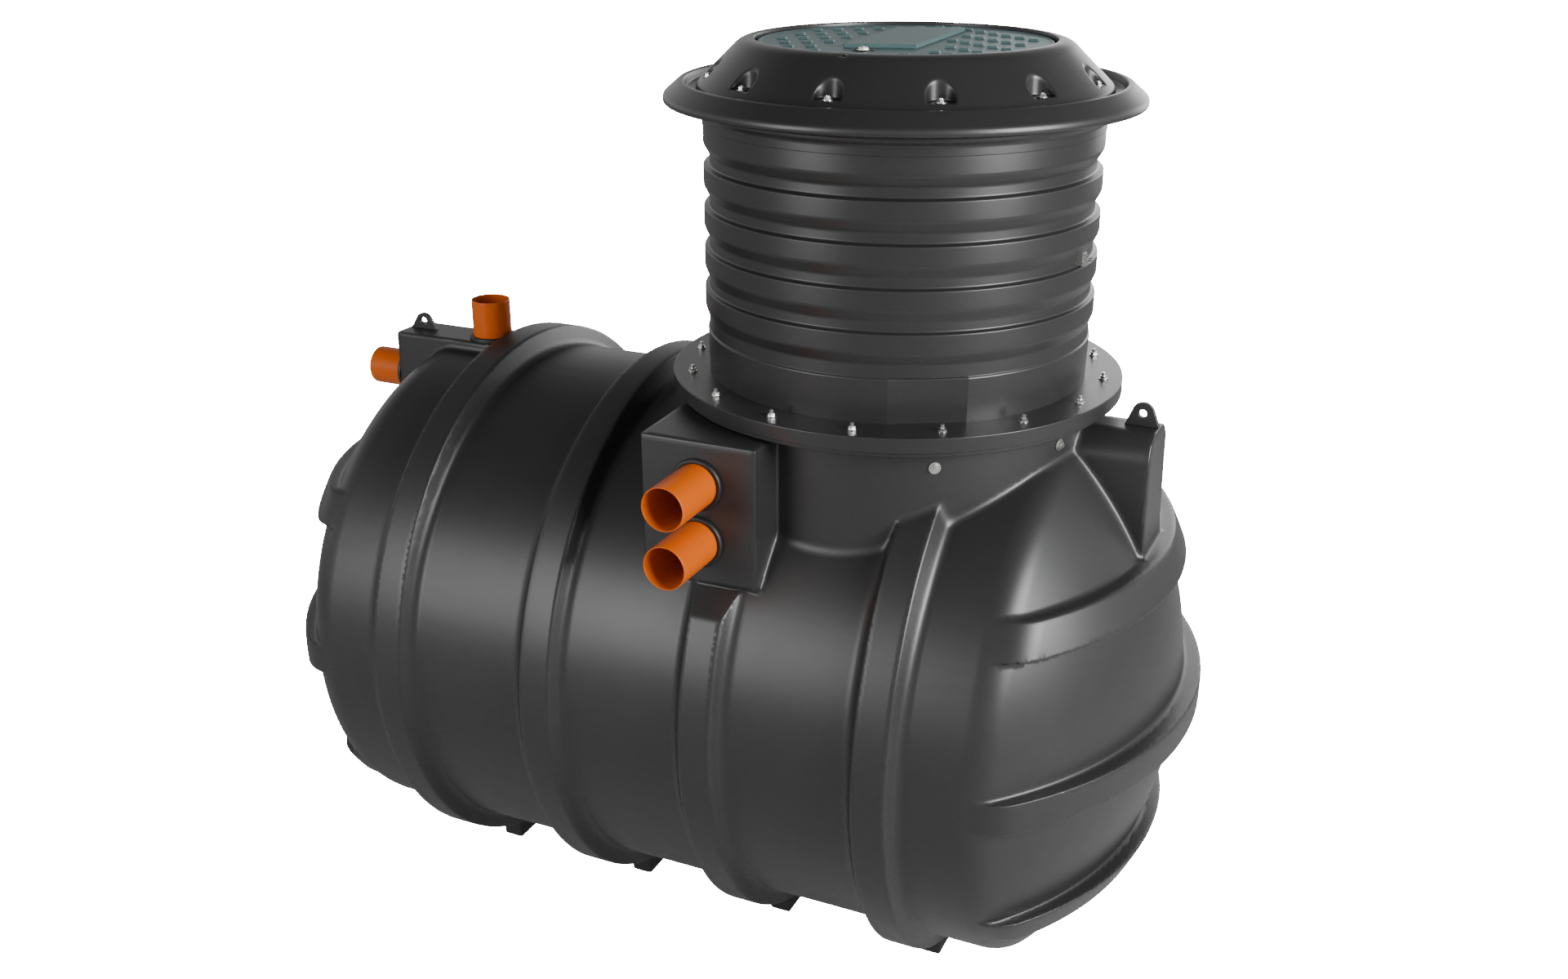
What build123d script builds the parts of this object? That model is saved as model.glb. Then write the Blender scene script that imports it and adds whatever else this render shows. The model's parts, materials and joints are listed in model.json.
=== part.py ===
from build123d import *
import math
import os

# A buried packaged sewage treatment plant: a horizontal rotomoulded tank with four hoops
# and two ribbed ends, an outlet box and an inlet box with drain pipes, a turret on top,
# and a ribbed access riser bolted to it under a flared collar and a round cover.
# The frame is +X along the tank towards the riser end, -Y towards the outlet side, +Z up,
# with the origin on the floor under the middle of the whole outline.

# Tank
wall = 12.0
barrel_r = 715.0
barrel_half = 891.0
dome_depth = 350.0
dome_knuckle = 60.0

# Hoops and feet
hoop_rise_side = 35.0
hoop_rise_top = 57.0
hoop_pitch = 456.0
hoop_root = 132.0
hoop_shoulder = 104.0
hoop_band = 74.0
shoulder_share = 0.45
edge_share = 0.88
hoop_edge = 88.0
floor_gap = 18.0
foot_half_y = 240.0
foot_width = 62.0

# Ribs on the tank ends
rib_depth = 360.0
rib_knuckle = 120.0
rib_reach = 40.0
rib_start = 14.0
rib_height = 84.0
rib_gap = 400.0
rib_drop = 6.0

# Turret and its flange
riser_x = 451.0
flange_over_barrel = 109.0
neck_r = 510.0
flange_r = 575.0
flange_thick = 37.0
gasket_thick = 3.0
gasket_r = 560.0
neck_flange_thick = 10.0
neck_flange_r = 562.0

# Flange bolts
bolt_count = 16
bolt_circle_r = 528.0
bolt_first_angle = 189.65
bolt_head_across = 19.0
bolt_head_height = 9.0

# Riser
riser_wall = 10.0
riser_neck_r = 473.0
riser_draft = 9.0
riser_rib_r = 487.5
riser_rib_pitch = 100.8
riser_first_rib = 199.2
riser_rib_count = 5
rib_edge = 4.0
rib_face = 27.0
rib_taper = 27.0
riser_spigot = 20.0
skirt_r = 480.4
skirt_flare = 3.6
skirt_height = 107.0
plate_angle = -60.8
plate_distance = 472.0
plate_half_width = 130.0

# Collar, cover frame and lid
collar_r = 489.0
collar_band = 31.0
collar_step = 11.0
lip_width = 51.5
lip_rise = 75.0
lip_thick = 8.0
rim_rise = 115.0
rim_gap = 29.5
rim_edge = 12.0
frame_bottom_r = 504.0
frame_bottom_rise = 103.6
frame_top_r = 395.0
frame_top_rise = 210.6
frame_edge = 8.0
lid_gap = 8.0
lid_drop = 8.0
lid_r = 355.0
lid_thick = 14.0
ledge = 30.0
pocket_count = 12
pocket_r = 33.0
pocket_circle_r = 473.0
pocket_floor_rise = 121.0
panel_front = 170.0
panel_back = 376.0
panel_near = 173.0
panel_far = 227.0
panel_shift = 49.5
panel_thick = 8.0
panel_angle = 17.2

# Pipes and their boxes
pipe_r = 55.0
pipe_wall = 3.2
seal_r = 66.0
seal_out = 12.0
box_wall = 8.0
outlet_offset = 266.0
outlet_upper_drop = 161.0
outlet_pitch = 147.0
outlet_setback = 103.0
outlet_reach = 175.0
outlet_pipe_length = 247.0
outlet_half_width = 151.0
outlet_flare = 12.0
outlet_box_top_drop = 53.0
outlet_box_height = 363.0
outlet_box_back = 250.0
facet_out = 38.0
facet_drop = 74.0
vent_offset = 1250.0
vent_rise = 32.0
inlet_drop = 218.0
inlet_reach = 121.0
inlet_pipe_length = 150.0
inlet_box_overhang = 204.0
inlet_box_half_y = 66.0
inlet_box_top_drop = 84.0
inlet_box_depth = 245.0
throat = 90.0

# Lifting points
lift_reach = 178.0
lift_half_top = 45.0
lift_half_bottom = 100.0
lift_top_drop = 78.0
lift_depth = 324.0
lug_thick = 14.0
lug_eye_r = 10.0
lug_round_r = 28.0
lug_half_base = 43.0
lug_eye_height = 33.0
lug_inset = 40.0
far_lug_round_r = 20.0
far_lug_eye_height = 20.0
far_lug_half_base = 34.0
far_lug_inset = 56.0

# Sizes and places that follow from the ones above
hoop_half_y = barrel_r + hoop_rise_side
hoop_half_z = barrel_r + hoop_rise_top
hoop_inner = barrel_r - 4
axis_z = hoop_half_z + floor_gap
hoop_x = [hoop_pitch * step for step in (-1.5, -0.5, 0.5, 1.5)]
flange_top = axis_z + barrel_r + flange_over_barrel
neck_top = flange_top - flange_thick - gasket_thick - neck_flange_thick
riser_inner_r = riser_neck_r - riser_wall
collar_bottom = riser_first_rib + (riser_rib_count - 1) * riser_rib_pitch + rib_edge
riser_top = collar_bottom + riser_spigot
rim_inner_r = frame_bottom_r + rim_gap
lip_r = rim_inner_r + lip_width
lip_z = collar_bottom + lip_rise
rim_top = collar_bottom + rim_rise
frame_bottom_z = collar_bottom + frame_bottom_rise
frame_top_z = collar_bottom + frame_top_rise
lid_top_z = frame_top_z - lid_drop
outlet_x = riser_x - outlet_offset
outlet_face_y = outlet_setback - barrel_r
outlet_end_y = outlet_face_y - outlet_reach
outlet_inner_y = outlet_end_y + outlet_pipe_length
outlet_upper_z = flange_top - outlet_upper_drop
outlet_lower_z = outlet_upper_z - outlet_pitch
outlet_box_top = flange_top - outlet_box_top_drop
outlet_box_bottom = outlet_box_top - outlet_box_height
inlet_x = riser_x - vent_offset
inlet_top = flange_top + vent_rise
inlet_z = flange_top - inlet_drop
inlet_box_end = -barrel_half - inlet_box_overhang
inlet_box_start = inlet_x + seal_r + box_wall
inlet_box_top = flange_top - inlet_box_top_drop
inlet_box_bottom = inlet_box_top - inlet_box_depth
inlet_end_x = inlet_box_end - inlet_reach
inlet_inner_x = inlet_end_x + inlet_pipe_length
vent_bottom = axis_z + barrel_r + pipe_wall
lift_top = flange_top - lift_top_drop
lift_x = riser_x + neck_r + lift_reach
plan_middle_y = (hoop_half_y + outlet_end_y) / 2


def whole(shape):
    """One shape that can carry a label, also where a cut left several solids."""
    if isinstance(shape, (list, tuple)):
        return Compound(list(shape))
    return shape


def x_cylinder(radius, x_from, x_to):
    """A cylinder along the tank's axis."""
    length = x_to - x_from
    middle = (x_from + x_to) / 2
    return Pos(middle, 0, axis_z) * Rot(0, 90, 0) * Cylinder(radius, length)


def z_cylinder(radius, z_from, z_to, x=0.0, y=0.0):
    """An upright cylinder between two heights."""
    return Pos(x, y, (z_from + z_to) / 2) * Cylinder(radius, z_to - z_from)


def block(x_from, x_to, y_from, y_to, z_from, z_to):
    """A box between six planes."""
    size = (x_to - x_from, y_to - y_from, z_to - z_from)
    middle = ((x_from + x_to) / 2, (y_from + y_to) / 2, (z_from + z_to) / 2)
    return Pos(*middle) * Box(*size)


def riser_turn(points):
    """Revolve an outline of (radius, height over the flange) about the riser's axis."""
    outline = Polyline([(radius, height) for radius, height in points], close=True)
    face = make_face(Plane.XZ * outline)
    return Pos(riser_x, 0, flange_top) * revolve(face, Axis.Z)


def dished_line(depth, radius, knuckle):
    """The half outline of a dished end: a knuckle arc that runs into a flatter crown arc."""
    crown = (depth ** 2 - knuckle ** 2 + (radius - knuckle) ** 2) / (2 * (depth - knuckle))
    turn = math.degrees(math.atan2(radius - knuckle, crown - depth))
    knuckle_arc = CenterArc((0, radius - knuckle), knuckle, turn, 90 - turn)
    crown_arc = CenterArc((depth - crown, 0), crown, 0, turn)
    return knuckle_arc + crown_arc


def dished(depth, radius, knuckle, start=barrel_half):
    """A solid dished end on the tank's axis, its flat side towards the barrel."""
    outline = dished_line(depth, radius, knuckle) + Line((0, radius), (0, 0)) + Line((0, 0), (depth, 0))
    face = make_face(Plane.XZ * outline)
    return Pos(start, 0, axis_z) * revolve(face, Axis.X)


def mirrored(shape):
    """The same shape at the tank's other end."""
    return mirror(shape, Plane.YZ)


def make_barrel():
    outer = x_cylinder(barrel_r, -barrel_half, barrel_half)
    inner = x_cylinder(barrel_r - wall, -barrel_half, barrel_half)
    return outer - inner


def make_end():
    hollow = dished(dome_depth - wall, barrel_r - wall, dome_knuckle - wall)
    return dished(dome_depth, barrel_r, dome_knuckle) - hollow


def make_end_ribs():
    """Three level ribs: slabs of a fuller end that starts bluntly where the dome falls away."""
    fuller = dished(rib_depth, barrel_r, rib_knuckle, barrel_half + rib_reach)
    fuller += x_cylinder(barrel_r, barrel_half, barrel_half + rib_reach)
    ribs = []
    for step in (-1, 0, 1):
        middle = axis_z - rib_drop + step * rib_gap
        slab = block(barrel_half + rib_start, barrel_half + rib_reach + rib_depth + wall,
                     -hoop_half_y, hoop_half_y, middle - rib_height / 2, middle + rib_height / 2)
        ribs.append(whole((slab & fuller) - dished(dome_depth, barrel_r, dome_knuckle)))
    return ribs


def hoop_solid(x):
    """A full hoop and all it encloses: ruled between ellipses that step out to the band."""
    stations = [(hoop_root, 0), (hoop_shoulder, shoulder_share), (hoop_edge, edge_share), (hoop_band, 1)]
    sections = []
    for side in (-1, 1):
        ordered = stations if side < 0 else reversed(stations)
        for width, share in ordered:
            half_y = hoop_inner + share * (hoop_half_y - hoop_inner)
            half_z = hoop_inner + share * (hoop_half_z - hoop_inner)
            place = Plane(origin=(x + side * width / 2, 0, axis_z), x_dir=(0, 0, 1), z_dir=(1, 0, 0))
            sections.append(place * Ellipse(half_z, half_y))
    return loft(sections, ruled=True)


def make_foot(x, hoop):
    foot = block(x - foot_width / 2, x + foot_width / 2, -foot_half_y, foot_half_y, 0, axis_z)
    return foot - hoop


def ring(outer, inner, z_from, z_to):
    return z_cylinder(outer, z_from, z_to, riser_x) - z_cylinder(inner, z_from, z_to, riser_x)


def riser_outer(height):
    """The riser's bare wall, a little wider towards the flange."""
    return riser_neck_r + riser_draft * max(0.0, 1 - height / riser_top)


def make_riser():
    points = [(skirt_r, 0), (skirt_r + skirt_flare, skirt_height),
              (riser_outer(skirt_height), skirt_height + rib_edge)]
    for step in range(riser_rib_count):
        top = riser_first_rib + step * riser_rib_pitch
        foot = top - rib_edge - rib_face - rib_taper
        points += [(riser_outer(foot), foot), (riser_rib_r - 2, top - rib_edge - rib_face - rib_taper / 4),
                   (riser_rib_r, top - rib_edge - rib_face), (riser_rib_r, top - rib_edge),
                   (riser_rib_r - rib_edge / 2, top)]
        if step < riser_rib_count - 1:
            points += [(riser_outer(top), top + rib_edge)]
    points += [(riser_rib_r - rib_edge / 2, collar_bottom), (riser_neck_r, collar_bottom)]
    points += [(riser_neck_r, riser_top), (riser_inner_r, riser_top), (riser_inner_r, 0)]
    riser = riser_turn(points)
    reach = riser_rib_r + wall
    facet = Rot(0, 0, plate_angle) * block(plate_distance, reach, -plate_half_width, plate_half_width,
                                           0, skirt_height + rib_edge)
    return riser - Pos(riser_x, 0, flange_top) * facet


def make_collar():
    band_top = collar_bottom + collar_band
    points = [(riser_neck_r, collar_bottom), (collar_r, collar_bottom), (collar_r, band_top),
              (collar_r + collar_step, band_top + collar_step), (collar_r + collar_step, band_top + 2 * lip_thick),
              (lip_r, lip_z - lip_thick), (lip_r, lip_z + lip_thick / 2), (rim_inner_r + rim_edge, rim_top),
              (rim_inner_r, rim_top), (rim_inner_r - rim_edge / 2, frame_bottom_z - lip_thick),
              (frame_bottom_r, frame_bottom_z - 2 * lip_thick), (riser_neck_r, riser_top)]
    return riser_turn(points)


def make_cover_frame():
    frame_in = frame_bottom_r - 2 * ledge
    points = [(frame_in, riser_top), (riser_neck_r, riser_top),
              (frame_bottom_r, frame_bottom_z - 2 * lip_thick), (frame_bottom_r, frame_bottom_z),
              (frame_top_r + frame_edge, frame_top_z - frame_edge), (frame_top_r, frame_top_z),
              (lid_r + lid_gap, frame_top_z), (lid_r + lid_gap, lid_top_z - lid_thick),
              (lid_r - ledge, lid_top_z - lid_thick), (lid_r - ledge, lid_top_z - 2 * lid_thick),
              (frame_top_r - ledge, frame_top_z - 2 * ledge)]
    frame = riser_turn(points)
    floor = flange_top + collar_bottom + pocket_floor_rise
    for step in range(pocket_count):
        angle = math.radians(step * 360 / pocket_count)
        frame -= z_cylinder(pocket_r, floor, flange_top + frame_top_z,
                            riser_x + pocket_circle_r * math.cos(angle), pocket_circle_r * math.sin(angle))
    return frame


def make_pipe(length):
    return Cylinder(pipe_r, length) - Cylinder(pipe_r - pipe_wall, length)


def make_lug(x, base_z, half_base, round_r, eye_height):
    """An upright plate with a rounded top and an eye, across the tank's middle plane."""
    eye_z = base_z + eye_height
    shoulder = eye_z + round_r / 3
    side = round_r * math.sqrt(8) / 3
    plate = make_face(Polyline([(x - half_base, base_z), (x + half_base, base_z), (x + side, shoulder),
                                (x - side, shoulder)], close=True))
    plate += Pos(x, eye_z) * Circle(round_r)
    plate -= Pos(x, eye_z) * Circle(lug_eye_r)
    return Pos(0, lug_thick / 2, 0) * extrude(Plane.XZ * plate, lug_thick)


def box_ring(width, y, z_from, z_to):
    """An upright rectangle across the outlet box at one depth."""
    corners = [(outlet_x - width, y, z_from), (outlet_x + width, y, z_from),
               (outlet_x + width, y, z_to), (outlet_x - width, y, z_to)]
    return make_face(Polyline(corners, close=True))


def lift_ring(half_y, z, x_to):
    """A level rectangle across the lifting block at one height."""
    corners = [(riser_x, -half_y, z), (x_to, -half_y, z), (x_to, half_y, z), (riser_x, half_y, z)]
    return make_face(Polyline(corners, close=True))


parts = {}
barrel_solid = x_cylinder(barrel_r, -barrel_half, barrel_half)
near_dome = dished(dome_depth, barrel_r, dome_knuckle)
far_dome = mirrored(near_dome)
neck_solid = z_cylinder(neck_r, axis_z, flange_top, riser_x)
neck_bore = z_cylinder(neck_r - wall, axis_z, flange_top, riser_x)

outlet_box = loft([box_ring(outlet_half_width, outlet_face_y, outlet_box_bottom, outlet_box_top),
                   box_ring(outlet_half_width + outlet_flare, -outlet_box_back, outlet_box_bottom,
                            outlet_box_top)], ruled=True)
outlet_hollow = block(outlet_x - outlet_half_width + box_wall, outlet_x + outlet_half_width - box_wall,
                      outlet_face_y + box_wall, -outlet_box_back,
                      outlet_box_bottom + box_wall, outlet_box_top - box_wall)
inlet_box = block(inlet_box_end, inlet_box_start, -inlet_box_half_y, inlet_box_half_y,
                  inlet_box_bottom, inlet_box_top)
inlet_hollow = block(inlet_box_end + box_wall, inlet_box_start - box_wall, -inlet_box_half_y + box_wall,
                     inlet_box_half_y - box_wall, inlet_box_bottom, inlet_box_top - box_wall)
inlet_throat = block(inlet_x - throat / 2, inlet_x + throat / 2, -throat / 2, throat / 2,
                     axis_z, inlet_box_top - box_wall)

parts["tank_barrel"] = make_barrel() - neck_bore - outlet_hollow - inlet_throat
near_end = make_end()
near_ribs = make_end_ribs()
parts["near_end"] = near_end - neck_bore
parts["far_end"] = mirrored(near_end)
parts["near_end_ribs"] = Compound(near_ribs)
parts["far_end_ribs"] = Compound([mirrored(rib) for rib in near_ribs])
facet_line = make_face(Polyline([
    (outlet_face_y - facet_out, outlet_box_bottom - facet_drop), (outlet_face_y, outlet_box_bottom),
    (outlet_face_y, outlet_box_top), (outlet_face_y - 2 * facet_out, outlet_box_top),
    (outlet_face_y - 2 * facet_out, outlet_box_bottom - facet_drop)], close=True))
facet_cut = Pos(outlet_x - outlet_half_width, 0, 0) * extrude(Plane.YZ * facet_line, 2 * outlet_half_width)
vent_seat = z_cylinder(seal_r, inlet_box_top, inlet_top, inlet_x)
for number, x in enumerate(hoop_x, 1):
    hoop = hoop_solid(x)
    shown = hoop - barrel_solid - neck_solid - outlet_box - inlet_box - facet_cut - vent_seat
    parts[f"hoop_{number}"] = shown
    parts[f"foot_{number}"] = make_foot(x, hoop)

neck = z_cylinder(neck_r, axis_z, neck_top, riser_x) - z_cylinder(neck_r - wall, axis_z, neck_top, riser_x)
parts["neck"] = neck - barrel_solid - near_dome - outlet_hollow
parts["neck_flange"] = ring(neck_flange_r, neck_r - wall, neck_top, neck_top + neck_flange_thick)
parts["flange_gasket"] = ring(gasket_r, neck_r - wall, flange_top - flange_thick - gasket_thick,
                              flange_top - flange_thick)
parts["riser_flange"] = ring(flange_r, riser_inner_r, flange_top - flange_thick, flange_top)
parts["riser"] = make_riser()
parts["collar"] = make_collar()
parts["cover_frame"] = make_cover_frame()
parts["lid"] = z_cylinder(lid_r, flange_top + lid_top_z - lid_thick, flange_top + lid_top_z, riser_x)
panel_line = make_face(Polyline([
    (-panel_shift - panel_front / 2, -panel_near), (-panel_shift + panel_front / 2, -panel_near),
    (-panel_shift + panel_back / 2, panel_far), (-panel_shift - panel_back / 2, panel_far)], close=True))
parts["lid_panel"] = (Pos(riser_x, 0, flange_top + lid_top_z) * Rot(0, 0, panel_angle)
                      * extrude(panel_line, panel_thick))

bolts = []
for step in range(bolt_count):
    angle = math.radians(bolt_first_angle + step * 360 / bolt_count)
    x = riser_x + bolt_circle_r * math.cos(angle)
    y = bolt_circle_r * math.sin(angle)
    bolts.append(Pos(x, y, flange_top + bolt_head_height / 2)
                 * Cylinder(bolt_head_across / 2, bolt_head_height))
parts["flange_bolts"] = Compound(bolts)

lift_block = loft([lift_ring(lift_half_bottom, lift_top - lift_depth, lift_x),
                   lift_ring(lift_half_top, lift_top, lift_x)], ruled=True)
lift_block = lift_block - neck_solid - barrel_solid - near_dome
for rib in near_ribs:
    lift_block = lift_block - rib
parts["near_lifting_block"] = lift_block
parts["near_lug"] = make_lug(lift_x - lug_half_base, lift_top, lug_half_base, lug_round_r, lug_eye_height)
parts["far_lug"] = make_lug(inlet_box_end + far_lug_inset, inlet_box_top, far_lug_half_base,
                            far_lug_round_r, far_lug_eye_height)

box_shell = outlet_box - outlet_hollow - neck_solid - barrel_solid
for name, height in (("upper", outlet_upper_z), ("lower", outlet_lower_z)):
    place = Pos(outlet_x, outlet_end_y + outlet_pipe_length / 2, height) * Rot(90, 0, 0)
    parts[f"outlet_pipe_{name}"] = place * make_pipe(outlet_pipe_length)
    seal = Cylinder(seal_r, seal_out) - Cylinder(pipe_r, seal_out)
    parts[f"outlet_seal_{name}"] = Pos(outlet_x, outlet_face_y - seal_out / 2, height) * Rot(90, 0, 0) * seal
    box_shell -= place * Cylinder(pipe_r, outlet_pipe_length)
parts["outlet_box"] = box_shell

vent_length = inlet_top - vent_bottom
vent_place = Pos(inlet_x, 0, (inlet_top + vent_bottom) / 2)
parts["vent_pipe"] = vent_place * make_pipe(vent_length)
inlet_place = Pos((inlet_end_x + inlet_inner_x) / 2, 0, inlet_z) * Rot(0, 90, 0)
parts["inlet_pipe"] = inlet_place * make_pipe(inlet_pipe_length)
parts["inlet_box"] = (inlet_box - inlet_hollow - barrel_solid - far_dome
                      - vent_place * Cylinder(pipe_r, vent_length)
                      - inlet_place * Cylinder(pipe_r, inlet_pipe_length))
for name, place in (("vent_seal", Pos(inlet_x, 0, inlet_box_top + seal_out / 2)),
                    ("inlet_seal", Pos(inlet_box_end - seal_out / 2, 0, inlet_z) * Rot(0, 90, 0))):
    parts[name] = place * (Cylinder(seal_r, seal_out) - Cylinder(pipe_r, seal_out))

os.makedirs("parts", exist_ok=True)
for name, shape in parts.items():
    shape = Pos(0, -plan_middle_y, 0) * whole(shape)
    shape.label = name
    export_step(shape, f"parts/{name}.step")
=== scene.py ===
import json
import math
from itertools import product

import bmesh
import bpy
import numpy as np
from mathutils import Matrix, Vector


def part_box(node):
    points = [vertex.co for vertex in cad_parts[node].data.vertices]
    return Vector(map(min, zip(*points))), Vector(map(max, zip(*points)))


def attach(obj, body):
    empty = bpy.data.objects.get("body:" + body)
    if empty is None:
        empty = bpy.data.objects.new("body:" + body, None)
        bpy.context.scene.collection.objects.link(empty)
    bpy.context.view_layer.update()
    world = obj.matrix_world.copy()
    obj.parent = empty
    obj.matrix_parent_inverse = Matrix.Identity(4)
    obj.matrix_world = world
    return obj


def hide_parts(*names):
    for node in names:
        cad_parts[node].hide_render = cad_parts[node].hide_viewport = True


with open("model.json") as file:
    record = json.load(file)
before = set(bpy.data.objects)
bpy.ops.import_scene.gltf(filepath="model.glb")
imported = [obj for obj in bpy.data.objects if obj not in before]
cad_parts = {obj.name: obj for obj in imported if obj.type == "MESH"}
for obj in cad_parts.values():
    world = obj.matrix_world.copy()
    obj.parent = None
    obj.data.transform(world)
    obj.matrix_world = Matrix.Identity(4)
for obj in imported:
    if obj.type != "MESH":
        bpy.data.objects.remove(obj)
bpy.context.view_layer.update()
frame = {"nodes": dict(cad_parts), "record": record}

bl_info = {
    "name": "Sewage treatment plant",
    "version": (1, 0, 0),
    "blender": (4, 5, 0),
    "location": "View3D > Sidebar > Plant",
    "description": "Dresses a buried sewage treatment tank with its riser, cover, pipes and bolts",
    "category": "Object",
}

ROOT = "root"
MM = 0.001


# Places read from the frame

BOXES = {name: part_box(name) for name in frame["nodes"]}


def middle_of(name):
    """The middle of a node's box."""
    low, high = BOXES[name]
    return [(low[axis] + high[axis]) / 2 for axis in range(3)]


def size_of(name):
    """The size of a node's box."""
    low, high = BOXES[name]
    return [high[axis] - low[axis] for axis in range(3)]


RISER_X, SIDE_Y = middle_of("riser_flange")[:2]
FLANGE_TOP = BOXES["riser_flange"][1][2]
AXIS_Z = middle_of("tank_barrel")[2]
BARREL_R = size_of("tank_barrel")[2] / 2
BARREL_HALF = size_of("tank_barrel")[0] / 2
AXIS = Vector((RISER_X, SIDE_Y, FLANGE_TOP))


# Node trees and materials

def node(tree, kind, inputs=None, **values):
    """Add a node, set its properties and feed its inputs with values, sockets or other nodes."""
    made = tree.nodes.new(kind)
    for name, value in values.items():
        setattr(made, name, value)
    for name, value in (inputs or {}).items():
        source = value.outputs[0] if isinstance(value, bpy.types.Node) else value
        if isinstance(source, bpy.types.NodeSocket):
            tree.links.new(source, made.inputs[name])
        else:
            made.inputs[name].default_value = source
    return made


def worked_out(tree, operation, *terms):
    """A math node on one or two terms."""
    return node(tree, "ShaderNodeMath", dict(enumerate(terms)), operation=operation)


def new_group(name, kind, takes, gives):
    """A node group with its sockets. A text is a socket's kind, and any other value its default."""
    tree = bpy.data.node_groups.new(name, kind)
    kinds = {int: "Int", float: "Float", 3: "Vector", 4: "Color"}
    for way, sockets in (("INPUT", takes), ("OUTPUT", gives)):
        for label, value in sockets.items():
            known = isinstance(value, str)
            sort = value if known else kinds[len(value) if isinstance(value, tuple) else type(value)]
            socket = tree.interface.new_socket(name=label, in_out=way, socket_type="NodeSocket" + sort)
            if not known:
                socket.default_value = value
    given = tree.nodes.new("NodeGroupInput").outputs
    return tree, given, tree.nodes.new("NodeGroupOutput").inputs


def moulded_skin_group():
    """Fine orange peel and slow mottling of moulded plastic."""
    name = "moulded skin"
    if name in bpy.data.node_groups:
        return bpy.data.node_groups[name]
    tree, given, result = new_group(name, "ShaderNodeTree", {
        "Colour": (0.03, 0.03, 0.03, 1), "Roughness": 0.4, "Peel scale": 900.0, "Peel height": 0.04,
        "Mottle": 0.12}, {"Colour": "Color", "Roughness": "Float", "Normal": "Vector"})
    place = node(tree, "ShaderNodeTexCoord").outputs["Object"]
    slow = node(tree, "ShaderNodeTexNoise", {
        "Vector": place, "Scale": 3.5, "Detail": 4.0, "Roughness": 0.6})
    spread = node(tree, "ShaderNodeMapRange", {
        "Value": slow, "From Min": 0.3, "From Max": 0.7, "To Min": -0.5, "To Max": 0.5})
    amount = worked_out(tree, "MULTIPLY", spread, given["Mottle"])
    lift = worked_out(tree, "ADD", amount, 1.0)
    tint = node(tree, "ShaderNodeVectorMath", {0: given["Colour"], "Scale": lift}, operation="SCALE")
    rough = worked_out(tree, "MULTIPLY", given["Roughness"], lift)
    peel = node(tree, "ShaderNodeTexNoise", {
        "Vector": place, "Scale": given["Peel scale"], "Detail": 2.0})
    bump = node(tree, "ShaderNodeBump", {
        "Height": peel, "Strength": given["Peel height"], "Distance": 0.001})
    for label, source in (("Colour", tint), ("Roughness", rough), ("Normal", bump)):
        tree.links.new(source.outputs[0], result[label])
    return tree


FINISHES = {
    "tank_plastic": "moulded black tank", "riser_plastic": "moulded black riser",
    "drain_pipe": "orange drain pipe", "seal_rubber": "black seal rubber",
    "lid_plastic": "dark lid plastic", "zinc_steel": "zinc plated steel"}


def skinned_material(slot, colour, roughness, peel_scale, peel_height, mottle, specular=0.5):
    """A slot's finish, whose surface comes from the moulded skin group. Its shader is given back."""
    material = bpy.data.materials.new(FINISHES[slot])
    material.use_nodes = True
    tree = material.node_tree
    shader = tree.nodes["Principled BSDF"]
    skin = node(tree, "ShaderNodeGroup", {
        "Colour": (*colour, 1), "Roughness": roughness, "Peel scale": peel_scale,
        "Peel height": peel_height, "Mottle": mottle}, node_tree=moulded_skin_group())
    for label, target in (("Colour", "Base Color"), ("Roughness", "Roughness"), ("Normal", "Normal")):
        tree.links.new(skin.outputs[label], shader.inputs[target])
    shader.inputs["Specular IOR Level"].default_value = specular
    return shader


def finish_of(slot):
    """A slot's finish, which the painting step made."""
    return bpy.data.materials[FINISHES[slot]]


# Distance fields of the moulded bodies, in metres

def smooth_min(first, second, reach):
    """The nearer of two fields, with a fillet where they meet."""
    share = np.clip(0.5 + 0.5 * (second - first) / reach, 0, 1)
    return second + (first - second) * share - reach * share * (1 - share)


def smooth_max(first, second, reach):
    """The overlap of two fields, with a rounded edge."""
    return -smooth_min(-first, -second, reach)


def slab(value, low, high, reach):
    """The space between two values of one coordinate."""
    return smooth_max(low - value, value - high, reach)


def dished_field(along, radial, start, depth, radius, knuckle):
    """A cylinder to start with a dished end beyond it, the same at both ends."""
    past = along - start
    crown = (depth ** 2 - knuckle ** 2 + (radius - knuckle) ** 2) / (2 * (depth - knuckle))
    slope = (radius - knuckle) / (crown - depth)
    on_crown = radial < (past - depth + crown) * slope
    barrel = radial - radius
    ring = np.hypot(np.maximum(past, 0), radial - radius + knuckle) - knuckle
    cap = np.hypot(past - depth + crown, radial) - crown
    return np.where(on_crown, cap, np.where(past > 0, ring, barrel))


# Sizes of the moulded tank that the frame doesn't give, in metres

END_DEPTH = 0.350
END_KNUCKLE = 0.110
RIB_SHIFT = 0.040
RIB_DEPTH = 0.360
RIB_INSET = 0.006
RIB_KNUCKLE = 0.125
RIB_PITCH = 0.400
RIB_DROP = 0.006
RIB_HALF = 0.042
RIB_RUN_OUT = 0.060
HOOP_HALF_Y = 0.750
HOOP_HALF_Z = 0.772
HOOP_ROOT = 0.064
HOOP_SLOPE = 0.0225
HOOP_FLANK = 0.85
FACET_ACROSS = 0.615
FACET_UP = 0.788
FACET_Y = -0.672
FACET_DROP = 0.480
FOOT_HALF_Y = 0.240
FOOT_TOP = 0.3
NECK_R = 0.510
OUTLET_HALF = 0.151
OUTLET_FLARE = 0.033
OUTLET_BACK = 0.25
INLET_HALF_Y = 0.066
BLOCK_FLAT = 0.030
BLOCK_ROUND = 0.068
BLOCK_LEAN = 0.02
BLOCK_FALL = 0.4
PIPE_BORE = 0.0535
OUTLET_BORE_END = 0.50
INLET_BORE_END = 1.02
VENT_BORE_END = 1.40

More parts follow.
